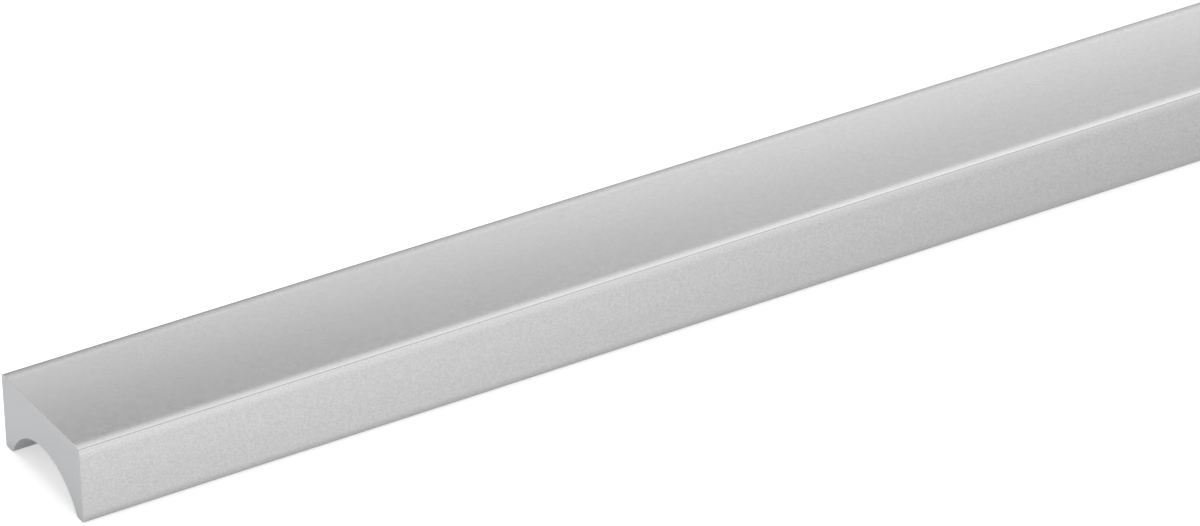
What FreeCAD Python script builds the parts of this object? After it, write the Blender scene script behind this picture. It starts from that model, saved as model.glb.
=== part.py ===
import FreeCAD, Part
import math
import os

# Finger pull bar: one length of extruded aluminium, sawn square at both ends.
# +X runs along the bar, +Y points to the flat back that is fixed to a front,
# +Z points up. The origin is midway along, under the middle of the section,
# on the plane of the two feet. All sizes are in millimetres.

# Length the stock is sold in
stock_length = 1000.0

# Section from the front face to the back, and from the feet to the top
section_depth = 24.0
section_height = 12.0

# Width of each foot, from the outer face to where the hollow cuts its plane
foot_width = 2.0

# Solid metal left between the crown of the finger hollow and the top
web_thickness = 6.0

# Rounding of the four long outer corners
corner_radius = 0.4

# Rounding where each foot turns up into the hollow
lip_radius = 0.3

# Next to their long corners the top and the front roll off very slightly:
# width of that margin, and radius of the shallow curve it follows
margin_width = 2.5
margin_radius = 30.0

# Points of the section nearer than this are one point
same_point = 1e-6

front = -section_depth / 2
back = section_depth / 2
top = section_height

# The rounding of a corner is never wider than half the foot it ends on
corner = min(corner_radius, foot_width / 2)
lip = min(lip_radius, foot_width / 2)


def at(y, z):
    """Point of the section at the near end of the bar."""
    return FreeCAD.Vector(-stock_length / 2, y, z)


def arc(centre_y, centre_z, radius, start, end):
    """Ends and edge of an arc of the section, from one heading to another.

    Headings are in degrees, 0 towards the back and 90 upwards.
    """
    def on_arc(heading):
        turn = math.radians(heading)
        return at(centre_y + radius * math.cos(turn), centre_z + radius * math.sin(turn))

    first = on_arc(start)
    last = on_arc(end)
    middle = on_arc((start + end) / 2)
    return first, last, Part.Arc(first, middle, last).toShape()


def top_back_corner():
    """Flat back, corner rounding, then the margin that rises to the flat top."""
    reach = margin_radius - corner
    turn = math.asin((margin_width - corner) / reach)
    height = top - margin_radius + reach * math.cos(turn)
    heading = 90 - math.degrees(turn)
    return [
        arc(back - corner, height, corner, 0, heading),
        arc(back - margin_width, top - margin_radius, margin_radius, heading, 90),
    ]


def top_front_corner():
    """Margins of the top and of the front, with the corner rounding between."""
    reach = margin_radius - corner
    slope = (margin_radius - margin_width) / (math.sqrt(2) * reach)
    turn = math.acos(slope) - math.pi / 4
    tilt = math.degrees(turn)
    centre_y = front + margin_width - reach * math.sin(turn)
    centre_z = top - margin_radius + reach * math.cos(turn)
    return [
        arc(front + margin_width, top - margin_radius, margin_radius, 90, 90 + tilt),
        arc(centre_y, centre_z, corner, 90 + tilt, 180 - tilt),
        arc(front + margin_radius, top - margin_width, margin_radius, 180 - tilt, 180),
    ]


def front_foot_corner():
    """Lower margin of the front face, then the rounding on to the foot."""
    reach = margin_radius - corner
    turn = math.asin((margin_width - corner) / reach)
    centre_y = front + margin_radius - reach * math.cos(turn)
    heading = 180 + math.degrees(turn)
    return [
        arc(front + margin_radius, margin_width, margin_radius, 180, heading),
        arc(centre_y, corner, corner, heading, 270),
    ]


def finger_hollow():
    """Round hollow between the feet, with a small rounded lip on each side."""
    half_mouth = section_depth / 2 - foot_width
    rise = section_height - web_thickness
    radius = (half_mouth ** 2 + rise ** 2) / (2 * rise)
    centre_z = rise - radius
    lip_y = math.sqrt((radius + lip) ** 2 - (lip - centre_z) ** 2)
    heading = math.degrees(math.atan2(lip - centre_z, lip_y))
    return [
        arc(-lip_y, lip, lip, 270, 360 - heading),
        arc(0, centre_z, radius, 180 - heading, heading),
        arc(lip_y, lip, lip, 180 + heading, 270),
    ]


def back_foot_corner():
    return [arc(back - corner, corner, corner, 270, 360)]


def closed_outline(arcs):
    """Arcs in order round the section, with a flat face wherever two don't meet."""
    edges = []
    for this, following in zip(arcs, arcs[1:] + arcs[:1]):
        leave = this[1]
        meet = following[0]
        edges.append(this[2])
        if leave.distanceToPoint(meet) > same_point:
            edges.append(Part.makeLine(leave, meet))
    return Part.Wire(edges)


def pull_bar():
    """The section as it leaves the die, drawn out to the length of the bar."""
    upper = top_back_corner() + top_front_corner()
    lower = front_foot_corner() + finger_hollow() + back_foot_corner()
    section = Part.Face(closed_outline(upper + lower))
    return section.extrude(FreeCAD.Vector(stock_length, 0, 0))


os.makedirs("parts", exist_ok=True)
pull_bar().exportStep("parts/pull_bar.step")
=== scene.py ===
# %% [markdown]
# # A finger pull bar, dressed for its picture
# The object is one length of extruded aluminium: a low rectangular bar with a round
# hollow drawn along its whole underside, sawn off square at both ends and anodised.
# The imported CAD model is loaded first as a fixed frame. Everything that follows is
# placed from it, in metres, so nothing has to be fitted by eye.

# %% Load the frame
import bpy
import math
from mathutils import Matrix, Vector


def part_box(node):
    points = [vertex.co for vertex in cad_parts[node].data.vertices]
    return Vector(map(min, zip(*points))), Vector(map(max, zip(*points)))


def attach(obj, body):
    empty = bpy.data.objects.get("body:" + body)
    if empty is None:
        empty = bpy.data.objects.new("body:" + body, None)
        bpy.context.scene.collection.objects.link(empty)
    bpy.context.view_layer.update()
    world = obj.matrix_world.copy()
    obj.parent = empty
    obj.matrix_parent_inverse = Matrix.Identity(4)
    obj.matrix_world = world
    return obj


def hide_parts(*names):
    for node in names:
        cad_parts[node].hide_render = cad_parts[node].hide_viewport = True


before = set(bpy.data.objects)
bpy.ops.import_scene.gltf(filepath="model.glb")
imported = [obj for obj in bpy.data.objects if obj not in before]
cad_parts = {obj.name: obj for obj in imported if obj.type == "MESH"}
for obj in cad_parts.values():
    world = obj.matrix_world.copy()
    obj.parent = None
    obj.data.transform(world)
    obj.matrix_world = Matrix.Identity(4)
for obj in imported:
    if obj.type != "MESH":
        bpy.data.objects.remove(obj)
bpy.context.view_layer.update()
BAR = "pull_bar"
low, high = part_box(BAR)
MM = 0.001
print("nodes", sorted(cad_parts), "size in mm", [round(v / MM, 2) for v in high - low])

LENGTH = high.x - low.x
FRONT, BACK = low.y, high.y
TOP = high.z
NEAR_END = low.x

# %% [markdown]
# ## The camera
# A long lens looks at the near end from the left, in front and above, so the bar runs
# up out of the picture on the right. Its eye point, its heading and its slight roll were
# found by matching the long edges and the four corners of the near end.

# %% Set up the camera
EYE = Vector((NEAR_END - 0.31514, FRONT - 0.66841, 0.47553))
HEADING_DEG = 30.82
DOWN_DEG = 30.58
ROLL_DEG = 0.685
LENS_MM = 189.8
SENSOR_MM = 36.0
NEAREST_SEEN = 0.01

camera_data = bpy.data.cameras.new("camera")
camera_data.lens = LENS_MM
camera_data.sensor_width = SENSOR_MM
camera_data.clip_start = NEAREST_SEEN
camera = bpy.data.objects.new("camera", camera_data)
bpy.context.scene.collection.objects.link(camera)
turn = Matrix.Rotation(math.radians(-HEADING_DEG), 4, "Z")
tilt = Matrix.Rotation(math.radians(90 - DOWN_DEG), 4, "X")
roll = Matrix.Rotation(math.radians(-ROLL_DEG), 4, "Z")
camera.matrix_world = Matrix.Translation(EYE) @ turn @ tilt @ roll
bpy.context.scene.camera = camera
print("camera", [round(v, 3) for v in camera.location], "lens", LENS_MM)

# %% [markdown]
# ## The section of the bar
# A die gives the bar one section from end to end, so the section is drawn once and
# pulled out to length. It is made of arcs that meet flat faces without a kink: the four
# small outer corners, the shallow margins beside them, the two lips and the big hollow.
# Each arc is written as its centre, radius and the headings where it starts and ends.

# %% Sizes of the section
FOOT_WIDTH = 2.0 * MM
WEB = 6.0 * MM
CORNER = 0.4 * MM
LIP = 0.3 * MM
MARGIN_WIDTH = 2.5 * MM
MARGIN_RADIUS = 30.0 * MM


def plain_corner_turn():
    """Angle of a margin that ends on a corner with a flat face on its other side."""
    return math.asin((MARGIN_WIDTH - CORNER) / (MARGIN_RADIUS - CORNER))


def shared_corner_turn():
    """Angle of each of two equal margins that meet at one corner."""
    slope = (MARGIN_RADIUS - MARGIN_WIDTH) / (math.sqrt(2) * (MARGIN_RADIUS - CORNER))
    return math.acos(slope) - math.pi / 4


print("margins turn by", round(math.degrees(plain_corner_turn()), 2), "and",
      round(math.degrees(shared_corner_turn()), 2), "degrees")

# %% The arcs round the top and the front
def upper_arcs():
    """Top back corner and top front corner, as (centre y, centre z, radius, start, end)."""
    reach = MARGIN_RADIUS - CORNER
    plain = plain_corner_turn()
    shared = shared_corner_turn()
    right = math.radians(90)
    return [
        (BACK - CORNER, TOP - MARGIN_RADIUS + reach * math.cos(plain), CORNER, 0, right - plain),
        (BACK - MARGIN_WIDTH, TOP - MARGIN_RADIUS, MARGIN_RADIUS, right - plain, right),
        (FRONT + MARGIN_WIDTH, TOP - MARGIN_RADIUS, MARGIN_RADIUS, right, right + shared),
        (FRONT + MARGIN_WIDTH - reach * math.sin(shared),
         TOP - MARGIN_RADIUS + reach * math.cos(shared), CORNER,
         right + shared, 2 * right - shared),
        (FRONT + MARGIN_RADIUS, TOP - MARGIN_WIDTH, MARGIN_RADIUS,
         2 * right - shared, 2 * right),
    ]


# %% The arcs round the feet and the hollow
def lower_arcs():
    """Front foot, finger hollow and back foot."""
    reach = MARGIN_RADIUS - CORNER
    plain = plain_corner_turn()
    right = math.radians(90)
    half_mouth = (BACK - FRONT) / 2 - FOOT_WIDTH
    rise = TOP - WEB
    hollow = (half_mouth ** 2 + rise ** 2) / (2 * rise)
    middle_z = rise - hollow
    lip_y = math.sqrt((hollow + LIP) ** 2 - (LIP - middle_z) ** 2)
    lift = math.atan2(LIP - middle_z, lip_y)
    return [
        (FRONT + MARGIN_RADIUS, MARGIN_WIDTH, MARGIN_RADIUS, 2 * right, 2 * right + plain),
        (FRONT + MARGIN_RADIUS - reach * math.cos(plain), CORNER, CORNER,
         2 * right + plain, 3 * right),
        (-lip_y, LIP, LIP, 3 * right, 4 * right - lift),
        (0, middle_z, hollow, 2 * right - lift, lift),
        (lip_y, LIP, LIP, 2 * right + lift, 3 * right),
        (BACK - CORNER, CORNER, CORNER, 3 * right, 4 * right),
    ]


section_arcs = upper_arcs() + lower_arcs()
print("arcs in the section", len(section_arcs))

# %% [markdown]
# ## Drawing the section by hand
# One vertex is the pen. A straight face is an extrude of that vertex, and an arc is a
# spin of it about the arc's centre, which is how the outline would be drawn with the
# mouse. That keeps every arc a true arc, with as many steps as its size needs.

# %% Start the pen
STEP_LENGTH = 0.55 * MM
FEWEST_STEPS = 10


def arc_point(arc, heading):
    """Point of the section on the near end, on one of its arcs."""
    centre_y, centre_z, radius = arc[:3]
    return Vector((NEAR_END, centre_y + radius * math.cos(heading),
                   centre_z + radius * math.sin(heading)))


bpy.ops.object.select_all(action="DESELECT")
pen_start = arc_point(section_arcs[0], section_arcs[0][3])
bpy.ops.mesh.primitive_plane_add(size=MM, location=(0, 0, 0))
bar = bpy.context.object
bar.name = "drawn_bar"
bar.data.name = "drawn_bar"
bpy.ops.object.mode_set(mode="EDIT")
bpy.ops.mesh.select_mode(type="VERT")
bpy.ops.mesh.select_all(action="SELECT")
bpy.ops.mesh.merge(type="CENTER")
bpy.ops.transform.translate(value=pen_start)
print("pen starts at mm", [round(v / MM, 3) for v in pen_start])

# %% Draw the arcs and the straight faces between them
pen = pen_start
SAME_POINT = 0.001 * MM
# Spin turns clockwise about its axis, so the axis points out of the near end
SPIN_AXIS = (-1, 0, 0)


def draw_line(start, end):
    if (end - start).length > SAME_POINT:
        bpy.ops.mesh.extrude_region_move(TRANSFORM_OT_translate={"value": end - start})
    return end


for arc in section_arcs:
    centre_y, centre_z, radius, start, end = arc
    pen = draw_line(pen, arc_point(arc, start))
    steps = max(FEWEST_STEPS, math.ceil(radius * abs(end - start) / STEP_LENGTH))
    bpy.ops.mesh.spin(steps=steps, angle=end - start, center=(NEAR_END, centre_y, centre_z),
                      axis=SPIN_AXIS)
    pen = arc_point(arc, end)
draw_line(pen, pen_start)

# %% [markdown]
# ## Pulling the bar out
# The press does the rest: the closed outline is filled with one face and extruded to the
# length of the stock. The points that the pen drew twice, where an arc meets the next
# face, are merged first, and the faces are turned to point outwards at the end.

# %% Close the outline and pull it out to the length of the bar
bpy.ops.mesh.select_all(action="SELECT")
bpy.ops.mesh.remove_doubles(threshold=SAME_POINT)
bpy.ops.mesh.edge_face_add()
bpy.ops.mesh.extrude_region_move(TRANSFORM_OT_translate={"value": (LENGTH, 0, 0)})
bpy.ops.mesh.select_all(action="SELECT")
bpy.ops.mesh.normals_make_consistent(inside=False)
bpy.ops.object.mode_set(mode="OBJECT")
print("bar vertices", len(bar.data.vertices), "faces", len(bar.data.polygons))

# %% [markdown]
# ## The sawn ends
# A fine saw leaves a crisp edge and the finisher takes off only the burr, so the rim of
# each end gets a bevel of less than a tenth of a millimetre. It is barely seen, but it
# keeps the edge from looking like paper, as a perfectly sharp edge does.

# %% Take the burr off both ends
BURR = 0.08 * MM
BURR_STEPS = 2
END_REACH = 0.01 * MM
STRAIGHT_ALONG = 0.99


def end_faces():
    """Faces that lie flat on one of the two sawn ends."""
    return [f for f in bar.data.polygons
            if abs(f.normal.x) > STRAIGHT_ALONG and abs(abs(f.center.x) - LENGTH / 2) < END_REACH]


bpy.ops.object.mode_set(mode="EDIT")
bpy.ops.mesh.select_mode(type="FACE")
bpy.ops.mesh.select_all(action="DESELECT")
bpy.ops.object.mode_set(mode="OBJECT")
for face in end_faces():
    face.select = True
bpy.ops.object.mode_set(mode="EDIT")
bpy.ops.mesh.region_to_loop()
bpy.ops.mesh.bevel(offset=BURR, segments=BURR_STEPS, affect="EDGES", clamp_overlap=False)
bpy.ops.object.mode_set(mode="OBJECT")
print("end faces", len(end_faces()), "faces in all", len(bar.data.polygons))

# %% [markdown]
# ## The anodised skin
# The long faces are matt silver: the metal is etched before it is anodised, which leaves
# a fine even grain. It shows more on the upright faces than on the top. On the front, a
# painted highlight makes the colour lighter under the upper edge. The shine comes from a
# metallic shader that is fairly smooth. Everything is read from Object coordinates, so
# that the pattern sits still on the bar.

# %% Helpers for the node trees
def new_material(name):
    material = bpy.data.materials.new(name)
    material.use_nodes = True
    tree = material.node_tree
    shader = tree.nodes["Principled BSDF"]
    return material, tree, shader


def feed(tree, socket, value):
    """Gives an input a constant, or links it to the output of another node."""
    if isinstance(value, bpy.types.NodeSocket):
        tree.links.new(value, socket)
    else:
        socket.default_value = value


def calc(tree, operation, *values):
    node = tree.nodes.new("ShaderNodeMath")
    node.operation = operation
    for socket, value in zip(node.inputs, values):
        feed(tree, socket, value)
    return node.outputs[0]


def ramp(tree, value, start, end, first=0.0, last=1.0, kind="LINEAR"):
    """Goes from the first value to the last while the input goes from start to end."""
    node = tree.nodes.new("ShaderNodeMapRange")
    node.interpolation_type = kind
    feed(tree, node.inputs["Value"], value)
    feed(tree, node.inputs["From Min"], start)
    feed(tree, node.inputs["From Max"], end)
    feed(tree, node.inputs["To Min"], first)
    feed(tree, node.inputs["To Max"], last)
    return node.outputs["Result"]


def coordinate(tree, kind, axis):
    """One axis of the Object position, the Normal or another texture coordinate."""
    place = tree.nodes.new("ShaderNodeTexCoord")
    split = tree.nodes.new("ShaderNodeSeparateXYZ")
    tree.links.new(place.outputs[kind], split.inputs[0])
    return split.outputs[axis]


PLAIN_DETAIL = 2.0
FINE_DETAIL = 3.0
# Nearly all of the noise texture lies between these
NOISE_SPAN = (0.3, 0.7)


def noise(tree, scale, stretch=(1, 1, 1), detail=PLAIN_DETAIL):
    """Noise on Object coordinates, in cycles per metre, mostly between -1 and 1."""
    place = tree.nodes.new("ShaderNodeTexCoord")
    mapping = tree.nodes.new("ShaderNodeMapping")
    mapping.inputs["Scale"].default_value = stretch
    texture = tree.nodes.new("ShaderNodeTexNoise")
    texture.inputs["Scale"].default_value = scale
    texture.inputs["Detail"].default_value = detail
    tree.links.new(place.outputs["Object"], mapping.inputs["Vector"])
    tree.links.new(mapping.outputs["Vector"], texture.inputs["Vector"])
    return ramp(tree, texture.outputs["Fac"], *NOISE_SPAN, -1, 1)


def tinted(tree, shader, lightness, tint):
    """Base colour: the lightness times a tint."""
    colour = tree.nodes.new("ShaderNodeCombineColor")
    for channel, share in zip(("Red", "Green", "Blue"), tint):
        feed(tree, colour.inputs[channel], calc(tree, "MULTIPLY", lightness, share))
    tree.links.new(colour.outputs["Color"], shader.inputs["Base Color"])


def add_bump(tree, shader, height, distance):
    bump = tree.nodes.new("ShaderNodeBump")
    bump.inputs["Distance"].default_value = distance
    bump.inputs["Strength"].default_value = 1.0
    tree.links.new(height, bump.inputs["Height"])
    tree.links.new(bump.outputs["Normal"], shader.inputs["Normal"])


# %% The matt silver of the long faces
SILVER = (0.60, 0.60, 0.60)
GRAIN_PER_METRE = 4200
GRAIN_HEIGHT = 0.0004 * MM
GRAIN_ON_SIDES = 0.100
GRAIN_ON_TOP = 0.050
# Painted highlight: the front's colour is up to 16 percent lighter within 1.7 mm under its upper
# edge
PAINTED_HIGHLIGHT = 0.16
PAINTED_HIGHLIGHT_DEPTH = 1.7 * MM
ON_FRONT = (FRONT + 0.3 * MM, FRONT + 0.1 * MM)
PATCHES_PER_METRE = 900
ROUGHNESS = (0.16, 0.18)


def painted_front_highlight(tree):
    """Painted highlight: 0 everywhere, but on the front it rises to its full value under the
    upper edge.
    """
    height = coordinate(tree, "Object", "Z")
    depth = coordinate(tree, "Object", "Y")
    near_edge = ramp(tree, height, TOP - PAINTED_HIGHLIGHT_DEPTH, TOP - CORNER, 0, PAINTED_HIGHLIGHT)
    on_front = ramp(tree, depth, *ON_FRONT)
    return calc(tree, "MULTIPLY", near_edge, on_front)


def anodised():
    """Grain of the etched metal, a painted highlight under the front's upper edge and a nearly
    even gloss.
    """
    material, tree, shader = new_material("satin_anodised_aluminium")
    shader.inputs["Metallic"].default_value = 1.0
    grain = noise(tree, GRAIN_PER_METRE, detail=FINE_DETAIL)
    upward = calc(tree, "ABSOLUTE", coordinate(tree, "Normal", "Z"))
    contrast = ramp(tree, upward, 0, 1, GRAIN_ON_SIDES, GRAIN_ON_TOP)
    speckle = calc(tree, "MULTIPLY_ADD", grain, contrast, 1.0)
    # Painted highlight: lightens the base colour under the front's upper edge
    highlight_factor = calc(tree, "ADD", painted_front_highlight(tree), 1.0)
    tinted(tree, shader, calc(tree, "MULTIPLY", speckle, highlight_factor), SILVER)
    patches = noise(tree, PATCHES_PER_METRE)
    tree.links.new(ramp(tree, patches, -1, 1, *ROUGHNESS), shader.inputs["Roughness"])
    add_bump(tree, shader, grain, GRAIN_HEIGHT)
    return material


skin = anodised()
print(skin.name, "nodes", len(skin.node_tree.nodes))

# %% [markdown]
# ## The finish of the sawn ends
# A circular saw leaves fine, nearly straight marks across the cut. They scatter the
# light, so an end is much duller than the drawn faces, and its grey is a little cooler.
# The marks are noise that is stretched across the bar: they change the lightness a
# little and raise a slight bump, and no single mark stands out.

# %% The sawn ends
SAWN = (0.587, 0.593, 0.607)
SAWN_ROUGHNESS = 0.6
SAWN_LIGHTNESS = (0.985, 1.015)
SAW_MARKS_PER_METRE = 2600
SAW_MARKS_STRETCH = (1, 0.15, 1)
SAW_MARK_HEIGHT = 0.0004 * MM


def sawn():
    """Dull metal with fine marks across the bar."""
    material, tree, shader = new_material("sawn_end")
    shader.inputs["Metallic"].default_value = 1.0
    shader.inputs["Roughness"].default_value = SAWN_ROUGHNESS
    marks = noise(tree, SAW_MARKS_PER_METRE, SAW_MARKS_STRETCH, FINE_DETAIL)
    tinted(tree, shader, ramp(tree, marks, -1, 1, *SAWN_LIGHTNESS), SAWN)
    add_bump(tree, shader, marks, SAW_MARK_HEIGHT)
    return material


cut = sawn()
print(cut.name, "nodes", len(cut.node_tree.nodes))

# %% [markdown]
# ## Dressing the bar
# The long faces get the skin and the two flat ends get the sawn finish. The arcs are
# shaded smooth, but only across steps under 16 degrees: the steps of the bevel at the
# ends are steeper, and smoothing them would tilt the light on the long flat faces. Then
# the piece rides on the root body, and the CAD part that it stands for is hidden.

# %% Dress the bar
SKIN_SLOT, CUT_SLOT = 0, 1
SMOOTH_UNDER_DEG = 16
bar.data.materials.append(skin)
bar.data.materials.append(cut)
for face in end_faces():
    face.material_index = CUT_SLOT
bpy.ops.object.select_all(action="DESELECT")
bar.select_set(True)
bpy.context.view_layer.objects.active = bar
bpy.ops.object.shade_smooth_by_angle(angle=math.radians(SMOOTH_UNDER_DEG))
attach(bar, "root")
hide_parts(BAR)
print("faces with the skin", sum(f.material_index == SKIN_SLOT for f in bar.data.polygons),
      "sawn", sum(f.material_index == CUT_SLOT for f in bar.data.polygons))

# %% [markdown]
# ## Floor
# The bar lies on a white table. The table is pale paint that the lamps light, and more
# white is added where the camera or a reflection looks at it. So the background comes
# out white, the bar keeps its shadow, and no lamp has to be stronger for it. The far
# edge of the table is out of sight.

# %% White floor
TABLE_SIZE = 60.0
UNDER_THE_FEET = 0.02 * MM
LIT_WHITE = 0.65
MORE_FOR_CAMERA = 0.50
MORE_FOR_MIRRORED = 0.19


def ray_glow(tree):
    """Strength of the added white: one value for the camera, one for reflections."""
    ray = tree.nodes.new("ShaderNodeLightPath").outputs
    mirrored = calc(tree, "MAXIMUM", ray["Is Glossy Ray"], ray["Is Transmission Ray"])
    for_mirrored = calc(tree, "MULTIPLY", mirrored, MORE_FOR_MIRRORED)
    return calc(tree, "MULTIPLY_ADD", ray["Is Camera Ray"], MORE_FOR_CAMERA, for_mirrored)


def white_floor():
    bpy.ops.object.select_all(action="DESELECT")
    bpy.ops.mesh.primitive_plane_add(size=TABLE_SIZE, location=(0, 0, -UNDER_THE_FEET))
    floor = bpy.context.object
    floor.name = "floor"
    material = bpy.data.materials.new("white_table")
    material.use_nodes = True
    tree = material.node_tree
    tree.nodes.remove(tree.nodes["Principled BSDF"])
    paint = tree.nodes.new("ShaderNodeBsdfDiffuse")
    paint.inputs["Color"].default_value = (LIT_WHITE, LIT_WHITE, LIT_WHITE, 1)
    glow = tree.nodes.new("ShaderNodeEmission")
    tree.links.new(ray_glow(tree), glow.inputs["Strength"])
    both = tree.nodes.new("ShaderNodeAddShader")
    tree.links.new(paint.outputs[0], both.inputs[0])
    tree.links.new(glow.outputs[0], both.inputs[1])
    tree.links.new(both.outputs[0], tree.nodes["Material Output"].inputs["Surface"])
    floor.data.materials.append(material)


white_floor()
print("table", TABLE_SIZE, "m wide, white added for camera and mirrors", MORE_FOR_CAMERA,
      MORE_FOR_MIRRORED)

# %% [markdown]
# ## Room
# Metal shows the room more than the lamps. The room is a pale tent, white in front of
# the bar and grey behind it, so that the top face of the bar comes out a little darker
# than its front. The grey behind is lighter to the right, where the bar runs away from
# the camera, and so its top grows lighter towards its far end. The white in front is a
# little weaker to the right, which the rounded edge between top and front shows. The
# camera itself sees plain white wherever it looks past the table.

# %% Pale room
FRONT_LEFT = 1.05
FRONT_RIGHT = 0.91
BEHIND_LEFT = 0.40
BEHIND_RIGHT = 0.62
FRONT_TO_BACK = (-0.42, 0.6)
LEFT_TO_RIGHT = (0.335, 0.505)
LEFT_TO_RIGHT_IN_FRONT = (0.43, 0.55)


def pale_room():
    world = bpy.data.worlds.new("room")
    bpy.context.scene.world = world
    world.use_nodes = True
    tree = world.node_tree
    background = tree.nodes["Background"]
    background.inputs["Color"].default_value = (1, 1, 1, 1)
    x = coordinate(tree, "Generated", "X")
    y = coordinate(tree, "Generated", "Y")
    behind = ramp(tree, x, *LEFT_TO_RIGHT, BEHIND_LEFT, BEHIND_RIGHT, "SMOOTHSTEP")
    in_front = ramp(tree, x, *LEFT_TO_RIGHT_IN_FRONT, FRONT_LEFT, FRONT_RIGHT, "SMOOTHSTEP")
    room = ramp(tree, y, *FRONT_TO_BACK, in_front, behind, "SMOOTHSTEP")
    seen = tree.nodes.new("ShaderNodeLightPath").outputs["Is Camera Ray"]
    tree.links.new(calc(tree, "MAXIMUM", room, seen), background.inputs["Strength"])


pale_room()
print("room from left to right: in front", FRONT_LEFT, FRONT_RIGHT)
print("room from left to right: behind", BEHIND_LEFT, BEHIND_RIGHT)

# %% [markdown]
# ## Lamps
# A narrow strip close behind the bar is mirrored in the back half of its top face and
# fades out across it. A wider strip, high behind, is mirrored in the shallow margin by
# the front corner and draws the bright band there. Both are much longer than the bar,
# so that neither ends within its mirror image. A small box straight above the near end
# lights only the floor, which the front face mirrors: the front grows a little darker
# towards the far end, and its foot is dark where the floor lies in the bar's own
# shadow. Each lamp is given by how bright it looks.

# %% Soft boxes
def soft_box(name, length, width, place, looks):
    """Lamp along the bar that faces it. Its power follows from its area and its looks."""
    data = bpy.data.lights.new(name, "AREA")
    data.shape = "RECTANGLE"
    data.size = length
    data.size_y = width
    data.energy = math.pi * length * width * looks
    lamp = bpy.data.objects.new(name, data)
    bpy.context.scene.collection.objects.link(lamp)
    lamp.location = place
    lamp.rotation_euler = (math.atan2(-place[1], place[2] - TOP), 0, 0)
    lamp.visible_camera = False
    return lamp


STRIP_LENGTH = 2.8
soft_box("strip_behind", STRIP_LENGTH, width=0.0255, place=(0, 0.184, 0.1195), looks=0.69)
soft_box("strip_high", STRIP_LENGTH, width=0.233, place=(0, 0.333, 0.436), looks=0.86)
floor_box = soft_box("box_over_floor", length=0.120, width=0.020,
                     place=(-0.476, 0.002, 0.176), looks=18.6)
floor_box.visible_glossy = False
for lamp in [o for o in bpy.context.scene.objects if o.type == "LIGHT"]:
    print(lamp.name, round(lamp.data.energy, 2), "W")

# %% [markdown]
# ## Finish
# The colours are shown as they are, with the Standard view transform.

# %% Finish
bpy.context.scene.view_settings.view_transform = "Standard"
